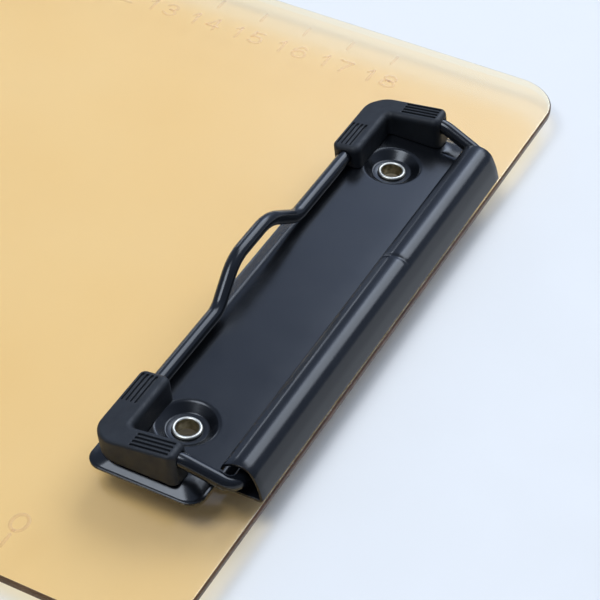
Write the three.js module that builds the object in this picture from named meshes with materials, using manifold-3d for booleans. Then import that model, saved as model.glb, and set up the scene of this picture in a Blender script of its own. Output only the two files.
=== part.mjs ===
// A5 clipboard with a spring-wire bail clip.
//
// Millimetres, +Z up. The underside of the board lies on Z = 0, +Y points to the edge that carries the clip,
// and the clip is centred on X = 0. The bail is modelled closed, resting just above the paper strip of the plate.
import * as THREE from 'three';
import { mergeVertices } from 'three/addons/utils/BufferGeometryUtils.js';
import Module from 'manifold-3d';

const wasm = await Module();
wasm.setup();

// ---------------------------------------------------------------- driving dimensions

const BOARD = { width: 160, length: 230, thickness: 1.6, cornerRadius: 9, edgeRound: 0.4 };
const TOP = BOARD.thickness;
const CLIP_EDGE = BOARD.length / 2;

// The pressed plate. Depths are measured from the board's clip edge towards the paper, heights above the board.
const PLATE = {
  sheet: 0.5,
  floor: 2.0,
  halfLength: 53.8,
  frontDepth: 30.0,
  rearDepth: 8.6,
  cornerRadius: 2.8,
  skirtWidth: 3.2,
  liftOffBoard: 0.02,
};
const TONGUE = { halfLength: 47.2, overlap: 4, reliefWidth: 0.3, reliefLength: 1.6 };
const DIMPLE = { topRadius: 5.2, bottomRadius: 3.7 };

// The rolled rear flange: the middle line of the sheet as (depth, height) points, with the fold radius at each one.
const ROLL_LINE = [
  { depth: PLATE.rearDepth + TONGUE.overlap, height: 1.75, fold: 0 },
  { depth: 8.0, height: 1.75, fold: 1.2 },
  { depth: 6.0, height: 0.27, fold: 1.2 },
  { depth: 0.36, height: 0.27, fold: 0.45 },
  { depth: 1.2, height: 3.0, fold: 6 },
  { depth: 3.0, height: 6.6, fold: 2.9 },
  { depth: 5.9, height: 6.1, fold: 2 },
  { depth: 7.5, height: 5.2, fold: 1.3 },
  { depth: 7.85, height: 4.0, fold: 0 },
];

const EYELET = {
  spacing: 78,
  depth: 18.8,
  boreRadius: 1.95,
  barrelRadius: 2.3,
  holeRadius: 2.4,
  ringRadius: 2.6,
  ringHeight: 0.5,
  flangeRadius: 3.4,
  flangeHeight: 0.4,
  recessRadius: 3.8,
  recessDepth: 0.5,
};

// The bail: wire centre-line, as half-length along X, depth from the clip edge and height above the board.
const WIRE = { radius: 1.33, sides: 12, segmentAngle: THREE.MathUtils.degToRad(16) };
const HINGE = { depth: 4.6, height: 3.0, pinEnd: 26 };
const BAIL = {
  frontDepth: 26.7,
  frontHeight: 4.05,
  humpDepth: 28.1,
  humpHeight: 9.0,
  humpTopHalf: 6.3,
  humpBaseHalf: 14.6,
  armHalf: 50.2,
  kneeDepth: 14.0,
  kneeHeight: 6.3,
  elbowHalf: 48.8,
  humpTopFold: 11,
  humpBaseFold: 6,
  cornerFold: 4.5,
  kneeFold: 8,
  elbowFold: 2.6,
};

// The rubber corner sleeve: an L in plan, with a flat top that climbs towards the hinge.
const GRIP = {
  frontDepth: 29.7,
  frontLegWidth: 5.6,
  frontLegEnd: 34.6,
  sideHalf: 52.7,
  sideLegWidth: 5.0,
  sideLegEnd: 13.7,
  outerRadius: 4.6,
  innerRadius: 0.9,
  tip: 1.2,
  bevel: 0.9,
  underside: 2.15,
  frontHeight: 5.8,
  rearHeight: 8.3,
  wireGap: 0.15,
};
const RIB = { count: 4, pitch: 0.87, width: 0.45, depth: 0.4, length: 6.9, endMargin: 1.2, edgeMargin: 0.65 };

const COLOUR = {
  board: 0xe8cf9b,
  blackPaint: 0x14161a,
  rubber: 0x2a2d31,
  nickel: 0xd6d6cd,
};

// ---------------------------------------------------------------- solids

function toSolid(geometry) {
  const bare = geometry.clone();
  bare.deleteAttribute('normal');
  bare.deleteAttribute('uv');
  const merged = mergeVertices(bare, 1e-4);
  const mesh = new wasm.Mesh({
    numProp: 3,
    vertProperties: new Float32Array(merged.getAttribute('position').array),
    triVerts: new Uint32Array(merged.getIndex().array),
  });
  return new wasm.Manifold(mesh);
}

function toGeometry(solid) {
  const mesh = solid.getMesh();
  const geometry = new THREE.BufferGeometry();
  geometry.setAttribute('position', new THREE.BufferAttribute(new Float32Array(mesh.vertProperties), 3));
  geometry.setIndex(new THREE.BufferAttribute(new Uint32Array(mesh.triVerts), 1));
  geometry.computeVertexNormals();
  return geometry;
}

function addPiece(group, name, solid, colour, roughness, metalness) {
  const material = new THREE.MeshStandardMaterial({ color: colour, roughness, metalness });
  const mesh = new THREE.Mesh(toGeometry(solid), material);
  mesh.name = name;
  group.add(mesh);
}

// A point given by its place along the clip, its depth from the clip edge and its height above the board.
function clipPoint(along, depth, height) {
  return new THREE.Vector3(along, CLIP_EDGE - depth, TOP + height);
}

function box(low, high) {
  const size = high.clone().sub(low);
  const centre = low.clone().add(high).multiplyScalar(0.5);
  return toSolid(new THREE.BoxGeometry(size.x, size.y, size.z).translate(centre.x, centre.y, centre.z));
}

function cylinder(radius, bottom, top, x, y, sides = 40) {
  const geometry = new THREE.CylinderGeometry(radius, radius, top - bottom, sides);
  geometry.rotateX(Math.PI / 2);
  return toSolid(geometry.translate(x, y, (bottom + top) / 2));
}

// A rectangle in plan, from low to high, with one radius on all four corners.
function roundedRectangle(low, high, radius) {
  const shape = new THREE.Shape();
  shape.moveTo(low.x + radius, low.y);
  shape.absarc(high.x - radius, low.y + radius, radius, -Math.PI / 2, 0);
  shape.absarc(high.x - radius, high.y - radius, radius, 0, Math.PI / 2);
  shape.absarc(low.x + radius, high.y - radius, radius, Math.PI / 2, Math.PI);
  shape.absarc(low.x + radius, low.y + radius, radius, Math.PI, Math.PI * 1.5);
  return shape;
}

// A stack of closed rings, each a list of Vector3 of one length, capped at the bottom and at the top.
function loft(rings) {
  const count = rings[0].length;
  const positions = rings.flat().flatMap((point) => point.toArray());
  const indices = [];
  for (let level = 0; level < rings.length - 1; level += 1) {
    for (let side = 0; side < count; side += 1) {
      const a = level * count + side;
      const b = level * count + (side + 1) % count;
      indices.push(a, b, b + count, a, b + count, a + count);
    }
  }
  const cap = (ring, flip) => {
    const flat = ring.map((point) => new THREE.Vector2(point.x, point.y));
    return THREE.ShapeUtils.triangulateShape(flat, []).map((face) => (flip ? [...face].reverse() : face));
  };
  const last = (rings.length - 1) * count;
  cap(rings[0], true).forEach((face) => indices.push(...face));
  cap(rings.at(-1), false).forEach((face) => indices.push(...face.map((index) => index + last)));
  const geometry = new THREE.BufferGeometry();
  geometry.setAttribute('position', new THREE.Float32BufferAttribute(positions, 3));
  geometry.setIndex(indices);
  return toSolid(geometry);
}

// Points of a polyline whose corners are rounded: each corner is { point, fold } with fold the arc's radius.
function foldedLine(corners, segmentAngle) {
  const points = [corners[0].point.clone()];
  for (let i = 1; i < corners.length - 1; i += 1) {
    const here = corners[i].point;
    const back = corners[i - 1].point.clone().sub(here).normalize();
    const ahead = corners[i + 1].point.clone().sub(here).normalize();
    const turn = Math.PI - back.angleTo(ahead);
    const trim = corners[i].fold * Math.tan(turn / 2);
    const bisector = back.clone().add(ahead).normalize();
    const centre = here.clone().addScaledVector(bisector, corners[i].fold / Math.cos(turn / 2));
    const start = here.clone().addScaledVector(back, trim).sub(centre);
    const inward = back.clone().negate();
    const steps = Math.max(2, Math.ceil(turn / segmentAngle));
    for (let step = 0; step <= steps; step += 1) {
      const angle = (turn * step) / steps;
      const spoke = start.clone().multiplyScalar(Math.cos(angle));
      spoke.addScaledVector(inward, corners[i].fold * Math.sin(angle));
      points.push(centre.clone().add(spoke));
    }
  }
  points.push(corners.at(-1).point.clone());
  return points;
}

// A curve whose stations are exactly the given points, so that an extrusion has one section at each of them.
class StationCurve extends THREE.Curve {
  constructor(points) {
    super();
    this.points = points;
  }

  station(u) {
    return Math.round(u * (this.points.length - 1));
  }

  getPointAt(u) {
    return this.points[this.station(u)].clone();
  }

  getPoint(t) {
    return this.getPointAt(t);
  }

  getTangentAt(u) {
    const i = this.station(u);
    const before = this.points[Math.max(i - 1, 0)];
    const after = this.points[Math.min(i + 1, this.points.length - 1)];
    const here = this.points[i];
    const tangent = new THREE.Vector3();
    if (i > 0) tangent.add(here.clone().sub(before).normalize());
    if (i < this.points.length - 1) tangent.add(after.clone().sub(here).normalize());
    return tangent.normalize();
  }
}

function tube(points, radius, sides) {
  const section = new THREE.Shape();
  for (let i = 0; i < sides; i += 1) {
    const angle = (2 * Math.PI * i) / sides;
    const place = [radius * Math.cos(angle), radius * Math.sin(angle)];
    if (i === 0) section.moveTo(...place);
    else section.lineTo(...place);
  }
  section.closePath();
  const options = { steps: points.length - 1, extrudePath: new StationCurve(points), bevelEnabled: false };
  return toSolid(new THREE.ExtrudeGeometry(section, options));
}

const mirrored = (solid) => solid.scale([-1, 1, 1]);

// ---------------------------------------------------------------- board

function makeBoard() {
  const { width, length, thickness, cornerRadius, edgeRound } = BOARD;
  const half = new THREE.Vector2(width / 2 - edgeRound, length / 2 - edgeRound);
  const outline = roundedRectangle(half.clone().negate(), half, cornerRadius - edgeRound);
  const slab = new THREE.ExtrudeGeometry(outline, {
    depth: thickness - 2 * edgeRound,
    bevelThickness: edgeRound,
    bevelSize: edgeRound,
    bevelSegments: 2,
    curveSegments: 10,
  });
  let solid = toSolid(slab.translate(0, 0, edgeRound));
  for (const side of [-1, 1]) {
    const x = (side * EYELET.spacing) / 2;
    const y = CLIP_EDGE - EYELET.depth;
    solid = solid.subtract(cylinder(EYELET.holeRadius, -1, thickness + 1, x, y));
    solid = solid.subtract(cylinder(EYELET.recessRadius, -1, EYELET.recessDepth, x, y));
  }
  return solid;
}

// ---------------------------------------------------------------- plate

// One face of the tray: the outline at the foot of the skirt, drawn in step by step as it climbs to the floor.
function trayFace(drawnIn, lift) {
  const { halfLength, frontDepth, rearDepth, cornerRadius, skirtWidth, floor, sheet } = PLATE;
  const climb = floor - sheet;
  const rings = [];
  const steps = 5;
  for (let step = -1; step <= steps; step += 1) {
    const part = Math.max(step, 0) / steps;
    const inset = drawnIn + skirtWidth * part;
    const rise = climb * (1 - Math.cos(Math.PI * part)) / 2;
    const height = step < 0 ? -2 : lift + rise;
    const low = new THREE.Vector2(-halfLength + inset, CLIP_EDGE - frontDepth + inset);
    const high = new THREE.Vector2(halfLength - inset, CLIP_EDGE - rearDepth - inset);
    const radius = cornerRadius - 0.7 * inset;
    const outline = roundedRectangle(low, high, radius).getPoints(6).slice(0, -1);
    rings.push(outline.map((point) => new THREE.Vector3(point.x, point.y, TOP + height)));
  }
  return loft(rings);
}

// The strip of sheet that runs back from the floor and rolls over into the hinge flange.
function makeRoll() {
  const corners = ROLL_LINE.map(({ depth, height, fold }) => ({ point: clipPoint(0, depth, height), fold }));
  const middle = foldedLine(corners, WIRE.segmentAngle);
  const normals = middle.map((point, i) => {
    const before = middle[Math.max(i - 1, 0)];
    const after = middle[Math.min(i + 1, middle.length - 1)];
    const run = after.clone().sub(before).normalize();
    return new THREE.Vector3(0, -run.z, run.y);
  });
  const half = PLATE.sheet / 2;
  const near = middle.map((point, i) => point.clone().addScaledVector(normals[i], half));
  const far = middle.map((point, i) => point.clone().addScaledVector(normals[i], -half)).reverse();
  const outline = new THREE.Shape([...near, ...far].map((point) => new THREE.Vector2(point.y, point.z)));
  const strip = new THREE.ExtrudeGeometry(outline, { depth: 2 * TONGUE.halfLength, bevelEnabled: false });
  const upright = new THREE.Matrix4().makeBasis(
    new THREE.Vector3(0, 1, 0),
    new THREE.Vector3(0, 0, 1),
    new THREE.Vector3(1, 0, 0),
  );
  return toSolid(strip.applyMatrix4(upright).translate(-TONGUE.halfLength, 0, 0));
}

function makeDimple(x, y) {
  const { topRadius, bottomRadius } = DIMPLE;
  const { sheet, floor, liftOffBoard } = PLATE;
  const wall = 0.35;
  const cup = [
    [0, liftOffBoard],
    [bottomRadius + wall, liftOffBoard],
    [topRadius + wall, floor - sheet],
    [topRadius + wall, floor],
    [topRadius, floor],
    [bottomRadius, sheet],
    [0, sheet],
  ];
  const points = cup.map(([radius, height]) => new THREE.Vector2(radius, height));
  const geometry = new THREE.LatheGeometry(points, 40);
  geometry.rotateX(Math.PI / 2);
  return toSolid(geometry.translate(x, y, TOP));
}

function makePlate() {
  const { sheet, floor, rearDepth, skirtWidth, liftOffBoard } = PLATE;
  const outer = trayFace(0, sheet);
  const inner = trayFace(sheet * 0.8, 0);
  const boardTop = box(clipPoint(-80, 60, -10), clipPoint(80, -10, liftOffBoard));
  let solid = outer.subtract(inner).subtract(boardTop);

  const { halfLength, reliefWidth, reliefLength } = TONGUE;
  const rearSkirt = box(
    clipPoint(-halfLength, rearDepth + skirtWidth + sheet, -1),
    clipPoint(halfLength, rearDepth - 1, floor + 1),
  );
  solid = solid.subtract(rearSkirt).add(makeRoll());
  const relief = box(
    clipPoint(halfLength, rearDepth + reliefLength, -1),
    clipPoint(halfLength + reliefWidth, rearDepth - 1, floor + 1),
  );
  solid = solid.subtract(relief).subtract(mirrored(relief));

  for (const side of [-1, 1]) {
    const x = (side * EYELET.spacing) / 2;
    const y = CLIP_EDGE - EYELET.depth;
    solid = solid.subtract(cylinder(DIMPLE.topRadius + 0.1, TOP - 1, TOP + floor + 1, x, y));
    solid = solid.add(makeDimple(x, y));
    solid = solid.subtract(cylinder(EYELET.holeRadius, TOP - 1, TOP + floor + 1, x, y));
  }
  return solid;
}

// ---------------------------------------------------------------- eyelets

function makeEyelet(side) {
  const { boreRadius, barrelRadius, ringRadius, ringHeight, flangeRadius, flangeHeight, recessDepth } = EYELET;
  const flangeTop = recessDepth - 0.02;
  const flangeBottom = flangeTop - flangeHeight;
  const ringFoot = TOP + PLATE.sheet + 0.02;
  const profile = [
    [boreRadius, flangeBottom],
    [flangeRadius - 0.1, flangeBottom],
    [flangeRadius, flangeBottom + 0.1],
    [flangeRadius, flangeTop],
    [barrelRadius, flangeTop],
    [barrelRadius, ringFoot],
    [ringRadius, ringFoot],
    [ringRadius + 0.05, ringFoot + ringHeight * 0.4],
    [ringRadius - 0.15, ringFoot + ringHeight * 0.85],
    [(ringRadius + boreRadius) / 2, ringFoot + ringHeight],
    [boreRadius + 0.1, ringFoot + ringHeight * 0.8],
    [boreRadius, ringFoot + ringHeight * 0.4],
    [boreRadius, flangeBottom],
  ];
  const points = profile.map(([radius, height]) => new THREE.Vector2(radius, height));
  const geometry = new THREE.LatheGeometry(points, 40);
  geometry.rotateX(Math.PI / 2);
  return toSolid(geometry.translate((side * EYELET.spacing) / 2, CLIP_EDGE - EYELET.depth, 0));
}

// ---------------------------------------------------------------- bail

// The right half of the wire, from the middle of the finger lift to the hidden end in the roll.
function halfWireCorners() {
  const b = BAIL;
  return [
    { point: clipPoint(0, b.humpDepth, b.humpHeight), fold: 0 },
    { point: clipPoint(b.humpTopHalf, b.humpDepth, b.humpHeight), fold: b.humpTopFold },
    { point: clipPoint(b.humpBaseHalf, b.frontDepth, b.frontHeight), fold: b.humpBaseFold },
    { point: clipPoint(b.armHalf, b.frontDepth, b.frontHeight), fold: b.cornerFold },
    { point: clipPoint(b.armHalf, b.kneeDepth, b.kneeHeight), fold: b.kneeFold },
    { point: clipPoint(b.elbowHalf, HINGE.depth, HINGE.height), fold: b.elbowFold },
    { point: clipPoint(HINGE.pinEnd, HINGE.depth, HINGE.height), fold: 0 },
  ];
}

function halfWirePoints() {
  return foldedLine(halfWireCorners(), WIRE.segmentAngle);
}

function makeWire() {
  const right = halfWirePoints();
  const left = right.slice(1).reverse().map((point) => new THREE.Vector3(-point.x, point.y, point.z));
  return tube([...left, ...right.slice(1)], WIRE.radius, WIRE.sides);
}

// ---------------------------------------------------------------- grips

function gripOutline() {
  const g = GRIP;
  const back = CLIP_EDGE - g.sideLegEnd;
  const front = CLIP_EDGE - g.frontDepth;
  const insideX = g.sideHalf - g.sideLegWidth;
  const insideY = front + g.frontLegWidth;
  const r = g.bevel;
  const shape = new THREE.Shape();
  shape.moveTo(g.frontLegEnd + g.tip, front + r);
  shape.absarc(g.sideHalf - g.outerRadius, front + g.outerRadius, g.outerRadius - r, -Math.PI / 2, 0);
  shape.lineTo(g.sideHalf - r, back - g.tip);
  shape.lineTo(g.sideHalf - g.tip, back - r);
  shape.lineTo(insideX + g.tip, back - r);
  shape.lineTo(insideX + r, back - g.tip);
  shape.absarc(insideX - g.innerRadius, insideY + g.innerRadius, g.innerRadius + r, 0, -Math.PI / 2, true);
  shape.lineTo(g.frontLegEnd + g.tip, insideY - r);
  shape.lineTo(g.frontLegEnd + r, insideY - g.tip);
  shape.lineTo(g.frontLegEnd + r, front + g.tip);
  return shape;
}

// The grooves stand in a frame whose top plane is the sloping top of the grip.
function makeGrooves(alongX, start, outerEdge) {
  const grooves = [];
  for (let i = 0; i < RIB.count; i += 1) {
    const across = outerEdge + (alongX ? 1 : -1) * (RIB.edgeMargin + RIB.pitch * i + RIB.width / 2);
    const size = alongX ? [RIB.length, RIB.width, 2 * RIB.depth] : [RIB.width, RIB.length, 2 * RIB.depth];
    const centre = alongX ? [start + RIB.length / 2, across] : [across, start - RIB.length / 2];
    grooves.push(new THREE.BoxGeometry(...size).translate(centre[0], centre[1], 0));
  }
  return grooves;
}

function makeGrip() {
  const g = GRIP;
  const run = g.frontDepth - g.sideLegEnd;
  const slope = Math.atan2(g.rearHeight - g.frontHeight, run);
  const frontTop = clipPoint(0, g.frontDepth, g.frontHeight);
  const toTop = new THREE.Matrix4().makeTranslation(0, frontTop.y, frontTop.z)
    .multiply(new THREE.Matrix4().makeRotationX(slope))
    .multiply(new THREE.Matrix4().makeTranslation(0, -frontTop.y, 0));

  const options = { depth: 20, bevelThickness: g.bevel, bevelSize: g.bevel, bevelSegments: 3, curveSegments: 5 };
  const block = new THREE.ExtrudeGeometry(gripOutline(), options);
  block.translate(0, 0, -20 - g.bevel).applyMatrix4(toTop);
  let solid = toSolid(block);
  solid = solid.subtract(box(clipPoint(0, 60, -40), clipPoint(80, -10, g.underside)));

  const back = CLIP_EDGE - g.sideLegEnd;
  const front = CLIP_EDGE - g.frontDepth;
  const grooves = [
    ...makeGrooves(true, g.frontLegEnd + RIB.endMargin, front),
    ...makeGrooves(false, back - RIB.endMargin, g.sideHalf),
  ];
  for (const groove of grooves) {
    solid = solid.subtract(toSolid(groove.applyMatrix4(toTop)));
  }
  const right = halfWirePoints();
  const tunnel = tube(right, WIRE.radius + g.wireGap, WIRE.sides);
  return solid.subtract(tunnel);
}

// ---------------------------------------------------------------- assembly

const clipboard = new THREE.Group();
clipboard.name = 'clipboard';

addPiece(clipboard, 'board', makeBoard(), COLOUR.board, 0.25, 0);
addPiece(clipboard, 'clip_plate', makePlate(), COLOUR.blackPaint, 0.3, 0.2);
addPiece(clipboard, 'eyelet_left', makeEyelet(-1), COLOUR.nickel, 0.25, 1);
addPiece(clipboard, 'eyelet_right', makeEyelet(1), COLOUR.nickel, 0.25, 1);
addPiece(clipboard, 'bail_wire', makeWire(), COLOUR.blackPaint, 0.25, 0.2);
addPiece(clipboard, 'corner_grip_left', mirrored(makeGrip()), COLOUR.rubber, 0.6, 0);
addPiece(clipboard, 'corner_grip_right', makeGrip(), COLOUR.rubber, 0.6, 0);

export default clipboard;
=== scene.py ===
import math

import bmesh
import bpy
import numpy as np
from mathutils import Euler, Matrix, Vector
from mathutils.geometry import delaunay_2d_cdt


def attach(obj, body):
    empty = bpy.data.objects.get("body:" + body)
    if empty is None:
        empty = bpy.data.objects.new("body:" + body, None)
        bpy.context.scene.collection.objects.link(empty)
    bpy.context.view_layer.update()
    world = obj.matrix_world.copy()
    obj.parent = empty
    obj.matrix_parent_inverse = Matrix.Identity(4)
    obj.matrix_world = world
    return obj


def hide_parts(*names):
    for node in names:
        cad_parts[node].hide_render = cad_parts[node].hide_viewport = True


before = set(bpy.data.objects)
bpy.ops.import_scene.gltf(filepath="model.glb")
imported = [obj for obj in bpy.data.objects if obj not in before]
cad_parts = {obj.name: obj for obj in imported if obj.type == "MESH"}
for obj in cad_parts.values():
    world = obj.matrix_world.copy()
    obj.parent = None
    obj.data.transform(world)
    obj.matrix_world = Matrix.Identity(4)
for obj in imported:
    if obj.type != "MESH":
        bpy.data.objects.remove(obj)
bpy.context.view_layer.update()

MM = 0.001

# ---------------------------------------------------------------- dimensions

BOARD = dict(width=160, length=230, thickness=1.6, corner_radius=9, edge_round=0.4, edge_steps=5, slack=0.002)
TOP = BOARD["thickness"]
CLIP_EDGE = BOARD["length"] / 2

# Depths are measured from the clip edge towards the paper, and heights from the top of the board.
# The plate is described by the middle of its sheet.
PLATE = dict(sheet=0.5, floor=1.75, foot=0.29, half_length=53.65, front_depth=29.85, rear_depth=8.75,
             corner_radius=2.8, corner_sharpening=0.15)
SKIRT = dict(foot_run=0.5, foot_rise=0.1, foot_fold=0.9, shoulder=2.85, shoulder_fold=3.0, end=3.95)
TONGUE = dict(half_length=47.2, relief_width=0.3, relief_length=1.6, relief_round=0.6)
DIMPLE = dict(rim=6.0, top_radius=5.45, top_fold=0.9, bottom_radius=3.75, bottom_fold=0.75, hole=2.4,
              height=0.27)
ROLL_LINE = [  # depth, height, fold radius
    (8.0, 1.75, 1.2),
    (6.0, 0.27, 1.2),
    (0.36, 0.27, 0.45),
    (1.2, 3.0, 6.0),
    (3.0, 6.6, 2.9),
    (5.9, 6.1, 2.0),
    (7.5, 5.2, 1.3),
    (7.85, 4.0, 0.0),
]
CRIMP = dict(place=-11.0, half_width=0.5, depth=0.14, height=5.2, fade=0.5)

EYELET = dict(spacing=78, depth=18.8, bore=1.95, barrel=2.3, hole=2.4, ring=2.62, ring_height=0.5,
              flange=3.4, flange_height=0.4, flange_round=0.12, mouth=0.12, mouth_depth=0.15,
              recess=3.8, recess_depth=0.5, gap=0.02)

WIRE = dict(radius=1.315, sides=40)
HINGE = dict(depth=4.6, height=3.0, pin_end=26)
BAIL = dict(front_depth=26.7, front_height=4.05, hump_depth=28.1, hump_height=9.0, hump_top_half=6.3,
            hump_base_half=14.6, arm_half=50.2, knee_depth=14.0, knee_height=6.3, elbow_half=48.8,
            hump_top_fold=11, hump_base_fold=6, corner_fold=4.5, knee_fold=8, elbow_fold=2.6)

GRIP = dict(front_depth=29.7, front_leg_width=5.6, front_leg_end=34.6, side_half=52.7, side_leg_width=5.0,
            side_leg_end=13.7, outer_radius=4.6, inner_radius=0.9, tip=1.4, bevel=1.25, outer_bevel=0.55,
            underside=2.15, front_height=5.8, rear_height=8.3, block_depth=20, wire_gap=0.05, voxel=0.1)
RIB = dict(count=4, pitch=0.87, width=0.5, depth=0.45, length=7.1, end_margin=1.15, edge_margin=0.6)

# The far ruler runs along the -X side and ends with its last number at Y = far_last. The near one runs along
# the +X side and starts with zero at Y = near_first. Insets and ticks are measured in from the board's side.
RULER = dict(digit_height=3.7, digit_width=2.7, digit_gap=1.5, stroke=0.66, relief=0.09, lift=0.004,
             centimetres=18, far_inset=14.5, far_last=80.8, far_tick=(5.9, 8.9),
             near_inset=10.7, near_first=83.2, near_tick=(5.1, 7.9))

# Strokes of the digits, in a box one wide and one high. Each stroke runs smoothly through its points.
DIGITS = {
    "0": [[(.5, 1), (.13, .84), (0, .5), (.13, .16), (.5, 0), (.87, .16), (1, .5), (.87, .84), (.5, 1)]],
    "1": [[(.22, .74), (.56, 1)], [(.56, 1), (.56, 0)]],
    "2": [[(.04, .76), (.2, .95), (.52, 1), (.86, .88), (.93, .66), (.76, .44), (.0, 0)], [(.0, 0), (1, 0)]],
    "3": [[(.06, .84), (.3, .98), (.66, .97), (.88, .77), (.72, .58), (.42, .53)],
          [(.42, .53), (.78, .48), (.96, .26), (.74, .04), (.36, 0), (.02, .16)]],
    "4": [[(.72, 0), (.72, 1)], [(.72, 1), (0, .3)], [(0, .3), (1, .3)]],
    "5": [[(.9, 1), (.2, 1)], [(.2, 1), (.1, .52)],
          [(.1, .52), (.44, .62), (.82, .54), (.96, .3), (.78, .06), (.38, 0), (.02, .14)]],
    "6": [[(.84, .9), (.5, 1), (.14, .78), (.0, .36), (.2, .06), (.56, 0), (.92, .14), (.98, .36), (.8, .58),
           (.46, .62), (.1, .46)]],
    "7": [[(0, 1), (1, 1)], [(1, 1), (.6, .5), (.36, 0)]],
    "8": [[(.5, .54), (.14, .64), (.1, .86), (.5, 1), (.9, .86), (.86, .64), (.5, .54)],
          [(.5, .54), (.06, .42), (.02, .14), (.5, 0), (.98, .14), (.94, .42), (.5, .54)]],
    "9": [[(.16, .1), (.5, 0), (.86, .22), (1, .64), (.8, .94), (.44, 1), (.08, .86), (.02, .64), (.2, .42),
           (.54, .38), (.9, .54)]],
}

# The camera's turn is in degrees, and its lens is for Blender's usual 36 mm sensor.
CAMERA = dict(target=(1.156, 97.52, 1.6), distance=374.18, turn=(48.0236, -1.8215, 117.4129), lens=127.21)
TABLE = dict(half_size=1500, gap=4.2)

# The room's light by the cosine of the angle from the window's direction.
SKY = dict(window=(-0.80, -0.15, 0.58), colour=(0.55, 0.69, 1.0), strength=1.5,
           stops=[(0.0, 0.15), (0.35, 0.27), (0.6, 0.40), (0.8, 0.32), (0.9, 0.32), (0.95, 0.50),
                  (0.965, 0.66), (0.98, 1.15), (1.0, 1.7)])

# Soft rectangular lights: name, place and size in metres, and power in watts.
PANELS = [
    ("overhead", (0.34, -0.15, 1.0), (0.50, 0.50), 5.85),
    ("window", (-0.80, 0.26, 0.88), (0.84, 0.70), 7.5),
    ("side_window", (-0.80, -0.76, 0.44), (0.20, 0.26), 0.5),
]
PANEL_COLOUR = (0.86, 0.95, 1.08)
PANEL_AIM = (0, 0.09, 0)


# ---------------------------------------------------------------- points and curves

def unit(vector):
    return vector / np.linalg.norm(vector)


def clip_point(along, depth, height):
    """A point given by its place along the clip, its depth from the edge and its height above the board."""
    return np.array([along, CLIP_EDGE - depth, TOP + height], float)


def folded_line(corners, step_angle=math.radians(5)):
    """The points of a polyline whose inner corners are rounded. Each corner is (point, fold radius)."""
    corners = [(np.array(point, float), fold) for point, fold in corners]
    points = [corners[0][0]]
    for (before, _), (here, fold), (after, _) in zip(corners, corners[1:], corners[2:]):
        back = unit(before - here)
        ahead = unit(after - here)
        turn = math.pi - math.acos(float(np.clip(back @ ahead, -1, 1)))
        centre = here + unit(back + ahead) * fold / math.cos(turn / 2)
        start = here + back * fold * math.tan(turn / 2) - centre
        steps = max(2, math.ceil(turn / step_angle))
        for step in range(steps + 1):
            angle = turn * step / steps
            points.append(centre + start * math.cos(angle) - back * fold * math.sin(angle))
    points.append(corners[-1][0])
    return np.array(points)


def smooth_stroke(points, steps=8):
    """A Catmull-Rom curve through the points, closed if the first is also the last.

    Two points stay a straight line.
    """
    points = [np.array(point, float) for point in points]
    if len(points) == 2:
        return np.array(points)
    closed = np.allclose(points[0], points[-1])
    before = points[-2] if closed else 2 * points[0] - points[1]
    after = points[1] if closed else 2 * points[-1] - points[-2]
    chain = [before, *points, after]
    curve = []
    for p0, p1, p2, p3 in zip(chain, chain[1:], chain[2:], chain[3:]):
        for t in np.arange(steps) / steps:
            curve.append(0.5 * (2 * p1 + (p2 - p0) * t + (2 * p0 - 5 * p1 + 4 * p2 - p3) * t ** 2
                                + (3 * p1 - p0 - 3 * p2 + p3) * t ** 3))
    curve.append(points[-1])
    return np.array(curve)


def tangents(points):
    runs = np.diff(points, axis=0)
    runs /= np.linalg.norm(runs, axis=1, keepdims=True)
    sums = np.vstack([runs[:1], runs[1:] + runs[:-1], runs[-1:]])
    return sums / np.linalg.norm(sums, axis=1, keepdims=True)


def arc(centre, radius, start, end, steps):
    """Points on a circle in plan. Angles are in degrees."""
    angles = np.radians(np.linspace(start, end, steps + 1))
    return [(centre[0] + radius * math.cos(a), centre[1] + radius * math.sin(a)) for a in angles]


def circle(centre, radius, height, sides=72):
    angles = 2 * math.pi * np.arange(sides) / sides
    xs = centre[0] + radius * np.cos(angles)
    ys = centre[1] + radius * np.sin(angles)
    return np.column_stack([xs, ys, np.full(sides, height)])


def rounded_rectangle(half_x, low_y, high_y, radius, steps=14):
    """A closed outline in plan, anticlockwise from the middle of the rear edge."""
    corners = [
        ((half_x - radius, high_y - radius), 90, 0),
        ((half_x - radius, low_y + radius), 0, -90),
        ((radius - half_x, low_y + radius), -90, -180),
        ((radius - half_x, high_y - radius), 180, 90),
    ]
    outline = []
    for centre, start, end in corners:
        outline += arc(centre, radius, start, end, steps)
    return outline[::-1]


# ---------------------------------------------------------------- meshes

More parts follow.
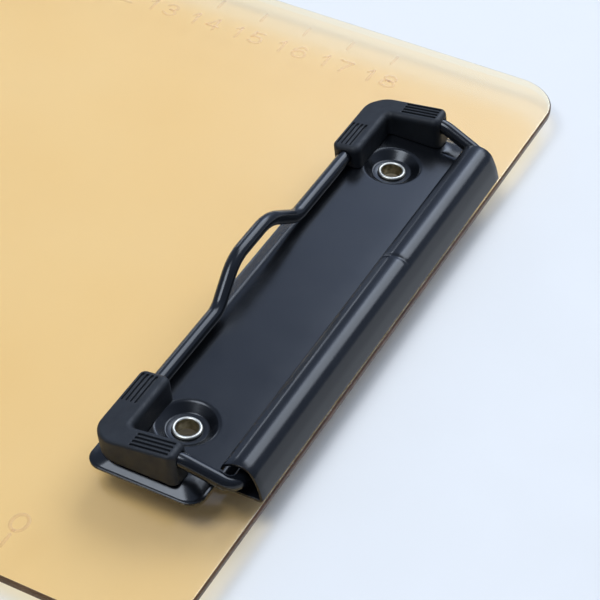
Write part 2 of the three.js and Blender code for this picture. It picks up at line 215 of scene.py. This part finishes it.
class Shell:
    """Collects points and faces, with a material number for each face, and turns them into one object."""

    def __init__(self):
        self.points = []
        self.faces = []
        self.slots = []

    def add(self, points, faces, slot=0):
        base = len(self.points)
        self.points += [tuple(point) for point in points]
        self.faces += [[base + index for index in face] for face in faces]
        self.slots += [slot] * len(faces)

    def grid(self, rows, closed=False, slot=0):
        """Quads between neighbouring rows of equally many points. A closed grid joins each row's ends."""
        count = len(rows[0])
        last = count if closed else count - 1
        faces = []
        for row in range(len(rows) - 1):
            for i in range(last):
                a = row * count + i
                b = row * count + (i + 1) % count
                faces.append((a, b, b + count, a + count))
        self.add(np.vstack(rows), faces, slot)

    def cap(self, ring, flip=False):
        order = list(range(len(ring)))
        self.add(ring, [order[::-1] if flip else order])

    def fill(self, outline, holes, height, upward=True):
        """A level face inside a convex outline, with round holes, each (centre, ring of points)."""
        loops = [np.array(outline)[:, :2]] + [ring[:, :2] for _, ring in holes]
        flat = [Vector(point) for loop in loops for point in loop]
        edges = []
        base = 0
        for loop in loops:
            edges += [(base + i, base + (i + 1) % len(loop)) for i in range(len(loop))]
            base += len(loop)
        points, _, faces, *_ = delaunay_2d_cdt(flat, edges, [], 0, 1e-6)
        kept = []
        for face in faces:
            middle = np.mean([points[i] for i in face], axis=0)
            inside = [np.linalg.norm(middle - centre) < np.linalg.norm(ring[0, :2] - centre)
                      for centre, ring in holes]
            if not any(inside):
                kept.append(face if upward else face[::-1])
        self.add([(point[0], point[1], height) for point in points], kept)

    def build(self, name, weld=1e-4):
        mesh = bpy.data.meshes.new(name)
        mesh.from_pydata(self.points, [], self.faces)
        mesh.polygons.foreach_set("material_index", self.slots)
        work = bmesh.new()
        work.from_mesh(mesh)
        bmesh.ops.remove_doubles(work, verts=work.verts, dist=weld)
        bmesh.ops.recalc_face_normals(work, faces=work.faces)
        work.to_mesh(mesh)
        work.free()
        obj = bpy.data.objects.new(name, mesh)
        bpy.context.scene.collection.objects.link(obj)
        return obj


def bake_modifiers(obj):
    """Replaces the object's mesh with what its modifiers make of it."""
    bpy.context.view_layer.update()
    shaped = obj.evaluated_get(bpy.context.evaluated_depsgraph_get())
    mesh = bpy.data.meshes.new_from_object(shaped)
    obj.modifiers.clear()
    obj.data = mesh


def modify(obj, kind, **settings):
    modifier = obj.modifiers.new(kind.title(), kind)
    for key, value in settings.items():
        setattr(modifier, key, value)


def cut(obj, *tools):
    """Takes the tools out of obj, and removes them."""
    for tool in tools:
        modify(obj, "BOOLEAN", operation="DIFFERENCE", solver="EXACT", object=tool)
        bake_modifiers(obj)
        bpy.data.objects.remove(tool)


def to_metres(mesh):
    mesh.transform(((MM, 0, 0, 0), (0, MM, 0, 0), (0, 0, MM, 0), (0, 0, 0, 1)))


def finish_piece(obj, node, body, materials, sharp_angle=35):
    """Turns the mesh into metres, gives it its materials and lets it stand for its CAD node."""
    mesh = obj.data
    to_metres(mesh)
    for material in materials:
        mesh.materials.append(material)
    mesh.polygons.foreach_set("use_smooth", [True] * len(mesh.polygons))
    mesh.set_sharp_from_angle(angle=math.radians(sharp_angle))
    mesh.update()
    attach(obj, body)
    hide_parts(node)


def tube(points, radius, sides, end_share=0.85, end_length=0.15):
    """A round bar along the points. Each end narrows to end_share of the radius over end_length of it."""
    directions = tangents(points)
    angles = 2 * math.pi * np.arange(sides) / sides
    normal = unit(np.cross(directions[0], (0.0, 0.3, 1.0)))
    rings = []
    for point, along in zip(points, directions):
        normal = unit(normal - along * (normal @ along))
        side = np.cross(along, normal)
        rings.append(point + radius * (np.outer(np.cos(angles), normal) + np.outer(np.sin(angles), side)))
    first = points[0] + (rings[0] - points[0]) * end_share
    last = points[-1] + (rings[-1] - points[-1]) * end_share
    rings[0] = rings[0] + directions[0] * end_length * radius
    rings[-1] = rings[-1] - directions[-1] * end_length * radius
    shell = Shell()
    shell.grid([first, *rings, last], closed=True)
    shell.cap(first, flip=True)
    shell.cap(last)
    return shell


def box(low, high):
    (x0, y0, z0), (x1, y1, z1) = low, high
    ring = [(x0, y0), (x1, y0), (x1, y1), (x0, y1)]
    rows = [np.array([(x, y, z) for x, y in ring]) for z in (z0, z1)]
    shell = Shell()
    shell.grid(rows, closed=True)
    shell.cap(rows[0], flip=True)
    shell.cap(rows[1])
    return shell


# ---------------------------------------------------------------- board

def eyelet_centres():
    y = CLIP_EDGE - EYELET["depth"]
    return [np.array([side * EYELET["spacing"] / 2, y]) for side in (-1, 1)]


def board_ring(inset, height):
    half_width = BOARD["width"] / 2 - BOARD["slack"]
    half_length = BOARD["length"] / 2 - BOARD["slack"]
    outline = rounded_rectangle(half_width - inset, inset - half_length, half_length - inset,
                                BOARD["corner_radius"] - inset)
    return np.array([(x, y, height) for x, y in outline])


def board_side(shell, support=0.25):
    """The rounded rim of the slab, with a narrow level strip inside it above and below.

    The innermost step of both roundings looks like the faces, the rest like the dark rim.
    """
    r = BOARD["edge_round"]
    angles = np.linspace(0, math.pi / 2, BOARD["edge_steps"] + 1)
    upper = [board_ring(r - r * math.cos(a), TOP - r + r * math.sin(a)) for a in angles]
    lower = [board_ring(r - r * math.cos(a), r - r * math.sin(a)) for a in angles]
    inner_top = board_ring(r + support, TOP)
    inner_bottom = board_ring(r + support, 0)
    rows = [*lower[::-1], *upper]
    shell.grid(rows[:2], closed=True)
    shell.grid(rows[1:-1], closed=True, slot=1)
    shell.grid(rows[-2:], closed=True)
    shell.grid([upper[-1], inner_top], closed=True)
    shell.grid([inner_bottom, lower[-1]], closed=True)
    return inner_top, inner_bottom


def board_holes(shell, support=0.2):
    """The hole of each eyelet, which is wider below for the eyelet's flange."""
    top_rings, bottom_rings = [], []
    hole, recess, depth = EYELET["hole"], EYELET["recess"], EYELET["recess_depth"]
    for centre in eyelet_centres():
        rim = circle(centre, hole + support, TOP)
        profile = [(hole, TOP), (hole, depth), (recess, depth), (recess, 0)]
        wall = [circle(centre, radius, height) for radius, height in profile]
        foot = circle(centre, recess + support, 0)
        shell.grid([rim, wall[0]], closed=True)
        shell.grid(wall, closed=True, slot=1)
        shell.grid([wall[-1], foot], closed=True)
        top_rings.append((centre, rim))
        bottom_rings.append((centre, foot))
    return top_rings, bottom_rings


def stroke_relief(shell, line):
    """A low rounded ridge along a line in plan, which fades out at its two ends."""
    width = RULER["stroke"] / 2
    height = RULER["relief"]
    directions = tangents(line)
    ends = [line[0] - directions[0] * width, *line, line[-1] + directions[-1] * width]
    directions = np.vstack([directions[:1], directions, directions[-1:]])
    shares = [0.35] + [1.0] * len(line) + [0.35]
    rows = []
    for point, along, share in zip(ends, directions, shares):
        across = np.array([-along[1], along[0]])
        section = []
        for angle in np.radians(np.linspace(180, 0, 9)):
            place = point + across * width * share * math.cos(angle)
            section.append((place[0], place[1], TOP + RULER["lift"] + height * share * math.sin(angle)))
        rows.append(np.array(section))
    shell.grid(rows, slot=2)


def number_strokes(shell, text, centre, facing):
    """A number in relief. facing is +1 when the digits' tops point to -X, and -1 when they point to +X."""
    width, height, gap = RULER["digit_width"], RULER["digit_height"], RULER["digit_gap"]
    span = len(text) * width + (len(text) - 1) * gap
    for place, digit in enumerate(text):
        left = place * (width + gap) - span / 2
        for stroke in DIGITS[digit]:
            curve = smooth_stroke(stroke)
            along = left + curve[:, 0] * width
            up = (curve[:, 1] - 0.5) * height
            line = np.column_stack([centre[0] - facing * up, centre[1] + facing * along])
            stroke_relief(shell, line)


def ruler(shell):
    edge = BOARD["width"] / 2
    for number in range(RULER["centimetres"] + 1):
        far_y = RULER["far_last"] - 10 * (RULER["centimetres"] - number)
        near_y = RULER["near_first"] - 10 * number
        number_strokes(shell, str(number), (RULER["far_inset"] - edge, far_y), 1)
        number_strokes(shell, str(number), (edge - RULER["near_inset"], near_y), -1)
        for side, y, (outer, inner) in ((-1, far_y, RULER["far_tick"]), (1, near_y, RULER["near_tick"])):
            stroke_relief(shell, np.array([(side * (edge - outer), y), (side * (edge - inner), y)]))


def make_board(materials):
    shell = Shell()
    inner_top, inner_bottom = board_side(shell)
    top_rings, bottom_rings = board_holes(shell)
    shell.fill(inner_top, top_rings, TOP)
    shell.fill(inner_bottom, bottom_rings, 0, upward=False)
    slab = shell.build("amber_board")
    marks = Shell()
    ruler(marks)
    relief = marks.build("ruler_marks")
    join_meshes(slab, relief)
    finish_piece(slab, "board", "base", materials)


def join_meshes(target, extra):
    work = bmesh.new()
    work.from_mesh(target.data)
    work.from_mesh(extra.data)
    work.to_mesh(target.data)
    work.free()
    bpy.data.objects.remove(extra)


# ---------------------------------------------------------------- clip plate

def skirt_profile():
    """The skirt's middle line from foot to floor: inset from the foot, and height above the board."""
    corners = [
        ((0, PLATE["foot"]), 0),
        ((SKIRT["foot_run"], PLATE["foot"] + SKIRT["foot_rise"]), SKIRT["foot_fold"]),
        ((SKIRT["shoulder"], PLATE["floor"]), SKIRT["shoulder_fold"]),
        ((SKIRT["end"], PLATE["floor"]), 0),
    ]
    return folded_line(corners, math.radians(4))


def skirt_row(inset, height):
    """One line around the tray at this inset, open between the two relief slits of the rear flange."""
    radius = PLATE["corner_radius"] - PLATE["corner_sharpening"] * inset
    half = PLATE["half_length"] - inset
    low = CLIP_EDGE - PLATE["front_depth"] + inset
    high = CLIP_EDGE - PLATE["rear_depth"] - inset
    opened = 1 - np.clip((inset - TONGUE["relief_length"]) / TONGUE["relief_round"], 0, 1)
    end = TONGUE["half_length"] + TONGUE["relief_width"] * opened
    loop = rounded_rectangle(half, low, high, radius)[::-1]
    line = [(end, high), *loop, (-end, high)]
    return np.array([(x, y, TOP + height) for x, y in line])


def dimple_rings(centre):
    """The pressed cup around a rivet, from its level rim down to the rivet's hole."""
    low, high = DIMPLE["height"], PLATE["floor"]
    corners = [
        ((DIMPLE["rim"], high), 0),
        ((DIMPLE["top_radius"], high), DIMPLE["top_fold"]),
        ((DIMPLE["bottom_radius"], low), DIMPLE["bottom_fold"]),
        ((DIMPLE["hole"], low), 0),
    ]
    line = folded_line(corners, math.radians(6))
    return [circle(centre, radius, TOP + height) for radius, height in line]


def roll_rows(start_depth):
    """The strip that runs back from the floor and rolls over, row by row, with a small crimp in its crest."""
    corners = [((start_depth, PLATE["floor"]), 0)]
    corners += [((depth, height), fold) for depth, height, fold in ROLL_LINE]
    half = TONGUE["half_length"]
    places = np.concatenate([np.linspace(-half, half, 60),
                             CRIMP["place"] + CRIMP["half_width"] * np.linspace(-3, 3, 19)])
    places = np.unique(np.round(places, 4))
    rows = []
    for depth, height in folded_line(corners, math.radians(5)):
        dent = CRIMP["depth"] * np.exp(-((places - CRIMP["place"]) / CRIMP["half_width"]) ** 2)
        dent = dent * np.clip((height - CRIMP["height"]) / CRIMP["fade"], 0, 1)
        rows.append(np.array([clip_point(x, depth, height - drop) for x, drop in zip(places, dent)]))
    return rows


def make_plate(material):
    shell = Shell()
    rows = [skirt_row(inset, height) for inset, height in skirt_profile()]
    shell.grid(rows)
    roll = roll_rows(PLATE["rear_depth"] + SKIRT["end"])
    shell.grid(roll)
    holes = []
    for centre in eyelet_centres():
        rings = dimple_rings(centre)
        shell.grid(rings, closed=True)
        holes.append((centre, rings[0]))
    rim = np.vstack([rows[-1], roll[0][1:-1]])
    shell.fill(rim, holes, TOP + PLATE["floor"])
    plate = shell.build("painted_clip_plate")
    modify(plate, "SOLIDIFY", thickness=PLATE["sheet"], offset=0, use_even_offset=True)
    modify(plate, "BEVEL", width=0.06, segments=2, limit_method="ANGLE", angle_limit=math.radians(55))
    bake_modifiers(plate)
    finish_piece(plate, "clip_plate", "base", [material], 50)


# ---------------------------------------------------------------- eyelets

def eyelet_profile():
    """A hollow rivet's (radius, height), around from its bore's foot, and how many points are the bore's."""
    e = EYELET
    flange_top = e["recess_depth"] - e["gap"]
    flange_foot = flange_top - e["flange_height"]
    ring_foot = TOP + PLATE["sheet"] + e["gap"]
    middle = (e["ring"] + e["bore"]) / 2
    half = (e["ring"] - e["bore"]) / 2
    spring = ring_foot + e["ring_height"] - half
    bore = [(e["bore"] + e["mouth"], flange_foot), (e["bore"], flange_foot + e["mouth_depth"]),
            (e["bore"], spring)]
    crown = arc((middle, spring), half, 180, -50, 16)
    foot = [(e["barrel"], ring_foot), (e["barrel"], flange_top), (e["flange"], flange_top)]
    r = e["flange_round"]
    flange = arc((e["flange"] - r, flange_foot + r), r, 0, -90, 4)
    return bore + crown + foot + flange + bore[:1], len(bore) + 3


def make_eyelet(name, node, centre, materials):
    profile, bore_count = eyelet_profile()
    rings = [circle(centre, radius, height, 96) for radius, height in profile]
    shell = Shell()
    shell.grid(rings[:bore_count], closed=True, slot=1)
    shell.grid(rings[bore_count - 1:], closed=True)
    finish_piece(shell.build(name), node, "base", materials, 50)


# ---------------------------------------------------------------- bail

def half_wire():
    """The right half of the wire's middle line, from the finger lift to the hidden end in the roll."""
    b = BAIL
    corners = [
        (clip_point(0, b["hump_depth"], b["hump_height"]), 0),
        (clip_point(b["hump_top_half"], b["hump_depth"], b["hump_height"]), b["hump_top_fold"]),
        (clip_point(b["hump_base_half"], b["front_depth"], b["front_height"]), b["hump_base_fold"]),
        (clip_point(b["arm_half"], b["front_depth"], b["front_height"]), b["corner_fold"]),
        (clip_point(b["arm_half"], b["knee_depth"], b["knee_height"]), b["knee_fold"]),
        (clip_point(b["elbow_half"], HINGE["depth"], HINGE["height"]), b["elbow_fold"]),
        (clip_point(HINGE["pin_end"], HINGE["depth"], HINGE["height"]), 0),
    ]
    return folded_line(corners, math.radians(4))


def make_wire(material):
    right = half_wire()
    left = right[:0:-1] * (-1, 1, 1)
    wire = tube(np.vstack([left, right[1:]]), WIRE["radius"], WIRE["sides"]).build("painted_bail_wire")
    finish_piece(wire, "bail_wire", "bail", [material], 50)


# ---------------------------------------------------------------- grips

def grip_outline():
    g = GRIP
    back = CLIP_EDGE - g["side_leg_end"]
    front = CLIP_EDGE - g["front_depth"]
    inside_x = g["side_half"] - g["side_leg_width"]
    inside_y = front + g["front_leg_width"]
    corner, elbow, tip = g["outer_radius"], g["inner_radius"], g["tip"]
    outline = arc((g["side_half"] - corner, front + corner), corner, -90, 0, 16)
    outline += arc((g["side_half"] - tip, back - tip), tip, 0, 90, 8)
    outline += arc((inside_x + tip, back - tip), tip, 90, 180, 8)
    outline += arc((inside_x - elbow, inside_y + elbow), elbow, 0, -90, 8)
    outline += arc((g["front_leg_end"] + tip, inside_y - tip), tip, 90, 180, 8)
    outline += arc((g["front_leg_end"] + tip, front + tip), tip, 180, 270, 8)
    return np.array(outline)


def outline_normals(outline):
    """The direction straight out of a closed outline at each of its points."""
    runs = np.roll(outline, -1, axis=0) - outline
    runs /= np.linalg.norm(runs, axis=1, keepdims=True)
    sums = runs + np.roll(runs, 1, axis=0)
    sums /= np.linalg.norm(sums, axis=1, keepdims=True)
    return np.column_stack([sums[:, 1], -sums[:, 0]])


def edge_rounding(normals):
    """How far the top edge is rounded over at each point: the least outside, more at the ends and inside."""
    outward = np.maximum(normals[:, 0], -normals[:, 1])
    share = np.clip((outward + 0.2) / 1.2, 0, 1)
    return GRIP["bevel"] + (GRIP["outer_bevel"] - GRIP["bevel"]) * share


def grip_block():
    """The outline drawn down from Z = 0, with rounded top edges."""
    outline = grip_outline()
    normals = outline_normals(outline)
    rounding = edge_rounding(normals)
    rows = [np.column_stack([outline, np.full(len(outline), -float(GRIP["block_depth"]))])]
    for angle in np.radians(np.linspace(0, 90, 9)):
        inset = rounding * (1 - math.cos(angle))
        drop = rounding * (1 - math.sin(angle))
        rows.append(np.column_stack([outline - normals * inset[:, None], -drop]))
    shell = Shell()
    shell.grid(rows, closed=True)
    shell.cap(rows[0], flip=True)
    shell.cap(rows[-1])
    return shell.build("grip_block")


def groove_boxes():
    """The grooves between the ribs, which cut the level top of the block on both legs."""
    g, r = GRIP, RIB
    back = CLIP_EDGE - g["side_leg_end"]
    front = CLIP_EDGE - g["front_depth"]
    tools = []
    for i in range(r["count"]):
        offset = r["edge_margin"] + r["pitch"] * i
        start = g["front_leg_end"] + r["end_margin"]
        tools.append(box((start, front + offset, -r["depth"]),
                         (start + r["length"], front + offset + r["width"], 1)))
        end = back - r["end_margin"]
        tools.append(box((g["side_half"] - offset - r["width"], end - r["length"], -r["depth"]),
                         (g["side_half"] - offset, end, 1)))
    return [tool.build(f"groove_{i}") for i, tool in enumerate(tools)]


def tilt_to_top(obj):
    """Moves a mesh from the level frame, where the grip's top is Z = 0, to its sloping place on the wire."""
    g = GRIP
    slope = math.atan2(g["rear_height"] - g["front_height"], g["front_depth"] - g["side_leg_end"])
    pivot = Vector(clip_point(0, g["front_depth"], 0))
    turn = Euler((slope, 0, 0)).to_matrix()
    for vertex in obj.data.vertices:
        level = vertex.co - Vector((0, pivot.y, 0))
        vertex.co = turn @ level + Vector((0, pivot.y, TOP + g["front_height"]))


def make_grip(name, node, side, material):
    """A ribbed rubber sleeve on a corner of the wire. side is +1 for the right one."""
    g = GRIP
    grip = grip_block()
    cut(grip, *groove_boxes())
    tilt_to_top(grip)
    # Takes away everything of the block that lies lower than the grip's flat underside.
    below = box(clip_point(0, 60, -40), clip_point(80, -10, g["underside"])).build("below")
    tunnel = tube(half_wire(), WIRE["radius"] + g["wire_gap"], WIRE["sides"]).build("tunnel")
    cut(grip, below, tunnel)
    modify(grip, "REMESH", mode="VOXEL", voxel_size=g["voxel"])
    modify(grip, "SMOOTH", factor=0.5, iterations=3)
    bake_modifiers(grip)
    grip.name = name
    if side < 0:
        mirror_mesh(grip)
    finish_piece(grip, node, "bail", [material], 60)


def mirror_mesh(obj):
    for vertex in obj.data.vertices:
        vertex.co.x = -vertex.co.x
    obj.data.flip_normals()


# ---------------------------------------------------------------- node helpers

class Nodes:
    """Short ways to lay out the nodes of one material."""

    def __init__(self, name):
        self.material = bpy.data.materials.new(name)
        self.material.use_nodes = True
        self.tree = self.material.node_tree
        self.tree.nodes.clear()
        self.output = self.node("ShaderNodeOutputMaterial")
        self.place = self.node("ShaderNodeTexCoord").outputs["Object"]

    def node(self, kind, settings=None, **inputs):
        """A node with its settings, and its inputs by name, each a value or a socket to link from."""
        made = self.tree.nodes.new(kind)
        for key, value in (settings or {}).items():
            setattr(made, key, value)
        for key, value in inputs.items():
            self.put(made.inputs[key.replace("_", " ")], value)
        return made

    def put(self, socket, value):
        if isinstance(value, bpy.types.NodeSocket):
            self.tree.links.new(value, socket)
        else:
            socket.default_value = value

    def noise(self, scale, detail=4.0, roughness=0.55, stretch=None):
        """Noise in the part's own frame. scale is in features per metre."""
        place = self.place
        if stretch:
            mapping = self.node("ShaderNodeMapping", Vector=place, Scale=stretch)
            place = mapping.outputs["Vector"]
        made = self.node("ShaderNodeTexNoise", Vector=place, Scale=scale, Detail=detail, Roughness=roughness)
        return made.outputs["Fac"]

    def ramp(self, factor, stops):
        """A colour for each factor: stops are (place, colour)."""
        made = self.node("ShaderNodeValToRGB", Fac=factor)
        elements = made.color_ramp.elements
        while len(elements) < len(stops):
            elements.new(0.5)
        for element, (place, colour) in zip(elements, stops):
            element.position = place
            element.color = (*colour, 1)
        return made.outputs["Color"]

    def range(self, factor, low, high):
        """The factor's middle span, spread over low to high."""
        made = self.node("ShaderNodeMapRange", Value=factor, From_Min=0.3, From_Max=0.7,
                         To_Min=low, To_Max=high)
        return made.outputs["Result"]

    def bump(self, height, depth, strength=1.0, **under):
        """A relief this deep, in metres. Normal may name the relief that it lies on."""
        made = self.node("ShaderNodeBump", Height=height, Distance=depth, Strength=strength, **under)
        return made.outputs["Normal"]

    def show(self, shader):
        self.put(self.output.inputs["Surface"], shader)
        return self.material


# ---------------------------------------------------------------- materials

def black_paint(name, low, high, rough_low, rough_high):
    """Glossy stoved enamel: a faint orange peel, small dust pimples and slightly dulled patches."""
    n = Nodes(name)
    tone = n.ramp(n.noise(90), [(0.35, low), (0.65, high)])
    dull = n.range(n.noise(160, detail=6), rough_low, rough_high)
    cells = n.node("ShaderNodeTexVoronoi", {"feature": "F1"}, Vector=n.place, Scale=380.0)
    pimples = n.node("ShaderNodeMapRange", Value=cells.outputs["Distance"], From_Min=0.02, From_Max=0.1,
                     To_Min=1.0, To_Max=0.0)
    peel = n.bump(n.noise(420, detail=2), 0.000014, 0.4)
    relief = n.bump(pimples.outputs["Result"], 0.00001, 0.4, Normal=peel)
    shader = n.node("ShaderNodeBsdfPrincipled", Base_Color=tone, Roughness=dull, IOR=1.46, Normal=relief)
    return n.show(shader.outputs["BSDF"])


def black_rubber():
    """Matte moulded rubber with a fine grain, slightly greyer where it has been rubbed."""
    n = Nodes("black_rubber")
    tone = n.ramp(n.noise(210, detail=5), [(0.32, (0.0055, 0.0062, 0.0074)), (0.68, (0.0105, 0.012, 0.014))])
    dull = n.range(n.noise(500, detail=3), 0.46, 0.62)
    grain = n.noise(5200, detail=2)
    shader = n.node("ShaderNodeBsdfPrincipled", Base_Color=tone, Roughness=dull, IOR=1.42,
                    Normal=n.bump(grain, 0.000012, 0.6))
    return n.show(shader.outputs["BSDF"])


def nickel():
    """Bright plate with a warm cast, drawn fine lines and small tarnished spots."""
    n = Nodes("nickel_plate")
    tone = n.ramp(n.noise(900, detail=6), [(0.3, (0.56, 0.53, 0.45)), (0.5, (0.66, 0.63, 0.54)),
                                           (0.7, (0.70, 0.67, 0.59))])
    dull = n.range(n.noise(700, detail=4), 0.38, 0.50)
    lines = n.noise(1200, detail=3, stretch=(1, 1, 9))
    shader = n.node("ShaderNodeBsdfPrincipled", Base_Color=tone, Metallic=1.0, Roughness=dull,
                    Normal=n.bump(lines, 0.000005, 0.3))
    return n.show(shader.outputs["BSDF"])


def bare_bore():
    """The inside of the rivet: thinly plated brass, dull and brownish."""
    n = Nodes("rivet_bore")
    tone = n.ramp(n.noise(1100, detail=6), [(0.3, (0.30, 0.25, 0.14)), (0.7, (0.56, 0.50, 0.34))])
    dull = n.range(n.noise(1600, detail=4), 0.3, 0.5)
    lines = n.noise(900, detail=3, stretch=(6, 6, 1))
    shader = n.node("ShaderNodeBsdfPrincipled", Base_Color=tone, Metallic=1.0, Roughness=dull,
                    Normal=n.bump(lines, 0.00001, 0.5))
    return n.show(shader.outputs["BSDF"])


def amber_face(name, clear_low, clear_high, haze, body_low, body_high, rough_low, rough_high):
    """A face of the see-through amber plastic: tinted, a little hazy, with a glossy and faintly wavy skin."""
    n = Nodes(name)
    cloud = n.noise(28, detail=5)
    tint = n.ramp(cloud, [(0.3, clear_low), (0.7, clear_high)])
    body = n.ramp(n.noise(60, detail=4), [(0.3, body_low), (0.7, body_high)])
    milk = n.range(n.noise(40, detail=6, roughness=0.6), haze * 0.7, haze * 1.3)
    waves = n.bump(n.noise(45, detail=2), 0.00012, 0.35)
    scuffs = n.noise(700, detail=5, stretch=(1, 0.15, 1))
    skin = n.bump(scuffs, 0.000006, 0.4, Normal=waves)
    dull = n.range(n.noise(120, detail=6), rough_low, rough_high)

    clear = n.node("ShaderNodeBsdfTransparent", Color=tint)
    solid = n.node("ShaderNodeBsdfPrincipled", Base_Color=body, Roughness=dull, Normal=skin)
    sheet = n.node("ShaderNodeMixShader", Fac=milk)
    n.put(sheet.inputs[1], clear.outputs["BSDF"])
    n.put(sheet.inputs[2], solid.outputs["BSDF"])

    back = n.node("ShaderNodeNewGeometry").outputs["Backfacing"]
    strength = n.node("ShaderNodeFresnel", IOR=1.49, Normal=skin).outputs["Fac"]
    outside = n.node("ShaderNodeMapRange", Value=back, To_Min=strength, To_Max=0.0).outputs["Result"]
    mirror = n.node("ShaderNodeBsdfAnisotropic", Color=outside, Roughness=dull, Normal=skin)
    gloss = n.node("ShaderNodeAddShader")
    n.put(gloss.inputs[0], sheet.outputs["Shader"])
    n.put(gloss.inputs[1], mirror.outputs["BSDF"])
    return n.show(gloss.outputs["Shader"])


def amber_edge():
    """The rim of the board, where the light that has crossed the plastic comes out dark and brown."""
    n = Nodes("amber_edge")
    tone = n.ramp(n.noise(150, detail=5), [(0.3, (0.050, 0.018, 0.009)), (0.7, (0.120, 0.050, 0.026))])
    dull = n.range(n.noise(300, detail=4), 0.15, 0.35)
    lines = n.noise(260, detail=4, stretch=(1, 1, 12))
    rim = n.node("ShaderNodeBsdfPrincipled", Base_Color=tone, Roughness=dull, IOR=1.25,
                 Normal=n.bump(lines, 0.00002, 0.4))
    clear = n.node("ShaderNodeBsdfTransparent", Color=(0.97, 0.93, 0.82, 1))
    back = n.node("ShaderNodeNewGeometry").outputs["Backfacing"]
    open_share = n.node("ShaderNodeMapRange", Value=back, To_Min=0.06, To_Max=1.0).outputs["Result"]
    mix = n.node("ShaderNodeMixShader", Fac=open_share)
    n.put(mix.inputs[1], rim.outputs["BSDF"])
    n.put(mix.inputs[2], clear.outputs["BSDF"])
    return n.show(mix.outputs["Shader"])


def table_top():
    """A smooth, matt, nearly white surface."""
    n = Nodes("pale_table")
    tone = n.ramp(n.noise(6, detail=3), [(0.3, (0.84, 0.80, 0.73)), (0.7, (0.86, 0.82, 0.75))])
    dull = n.range(n.noise(90, detail=4), 0.55, 0.7)
    shader = n.node("ShaderNodeBsdfPrincipled", Base_Color=tone, Roughness=dull,
                    Normal=n.bump(n.noise(900, detail=3), 0.00002, 0.2))
    return n.show(shader.outputs["BSDF"])


# ---------------------------------------------------------------- stage

def make_table():
    half = TABLE["half_size"]
    z = -TABLE["gap"]
    shell = Shell()
    shell.add([(-half, -half, z), (half, -half, z), (half, half, z), (-half, half, z)], [(0, 1, 2, 3)])
    table = shell.build("table")
    to_metres(table.data)
    table.data.materials.append(table_top())


def add_panel(name, place, size, power):
    data = bpy.data.lights.new(name, "AREA")
    data.shape = "RECTANGLE"
    data.size, data.size_y = size
    data.energy = power
    data.color = PANEL_COLOUR
    light = bpy.data.objects.new(name, data)
    light.location = place
    light.rotation_euler = (Vector(PANEL_AIM) - Vector(place)).to_track_quat("-Z", "Y").to_euler()
    bpy.context.scene.collection.objects.link(light)


def light_sky():
    """A dim bluish room that brightens smoothly towards the window."""
    world = bpy.data.worlds.new("studio")
    world.use_nodes = True
    tree = world.node_tree
    place = tree.nodes.new("ShaderNodeTexCoord")
    towards = tree.nodes.new("ShaderNodeVectorMath")
    towards.operation = "DOT_PRODUCT"
    towards.inputs[1].default_value = Vector(SKY["window"]).normalized()
    ramp = tree.nodes.new("ShaderNodeValToRGB")
    elements = ramp.color_ramp.elements
    while len(elements) < len(SKY["stops"]):
        elements.new(0.5)
    for element, (cosine, level) in zip(elements, SKY["stops"]):
        element.position = cosine
        element.color = (*(level * share for share in SKY["colour"]), 1)
    tree.links.new(place.outputs["Generated"], towards.inputs[0])
    tree.links.new(towards.outputs["Value"], ramp.inputs["Fac"])
    tree.links.new(ramp.outputs["Color"], tree.nodes["Background"].inputs["Color"])
    tree.nodes["Background"].inputs["Strength"].default_value = SKY["strength"]
    bpy.context.scene.world = world


def add_camera():
    data = bpy.data.cameras.new("camera")
    data.lens = CAMERA["lens"]
    data.clip_start = 0.01
    camera = bpy.data.objects.new("camera", data)
    turn = Euler([math.radians(angle) for angle in CAMERA["turn"]])
    back = turn.to_matrix() @ Vector((0, 0, 1))
    camera.location = (Vector(CAMERA["target"]) + back * CAMERA["distance"]) * MM
    camera.rotation_euler = turn
    bpy.context.scene.collection.objects.link(camera)
    bpy.context.scene.camera = camera


# ---------------------------------------------------------------- assembly

clear_face = amber_face("amber_face", (0.995, 0.893, 0.70), (1.0, 0.907, 0.73), 0.02,
                        (0.80, 0.52, 0.22), (0.92, 0.64, 0.30), 0.07, 0.2)
moulded_mark = amber_face("amber_relief", (0.87, 0.80, 0.72), (0.91, 0.84, 0.76), 0.06,
                          (0.50, 0.36, 0.20), (0.62, 0.46, 0.27), 0.35, 0.5)
make_board([clear_face, amber_edge(), moulded_mark])
plate_paint = black_paint("black_plate_paint", (0.0025, 0.0029, 0.0037), (0.0048, 0.0055, 0.0068), 0.21, 0.27)
make_plate(plate_paint)
metals = [nickel(), bare_bore()]
left, right = eyelet_centres()
make_eyelet("hollow_rivet_left", "eyelet_left", left, metals)
make_eyelet("hollow_rivet_right", "eyelet_right", right, metals)
wire_paint = black_paint("black_wire_paint", (0.0045, 0.0052, 0.0065), (0.007, 0.008, 0.0098), 0.17, 0.24)
make_wire(wire_paint)
rubber = black_rubber()
make_grip("rubber_grip_left", "corner_grip_left", -1, rubber)
make_grip("rubber_grip_right", "corner_grip_right", 1, rubber)

make_table()
light_sky()
for panel in PANELS:
    add_panel(*panel)
add_camera()
bpy.context.scene.view_settings.view_transform = "Standard"
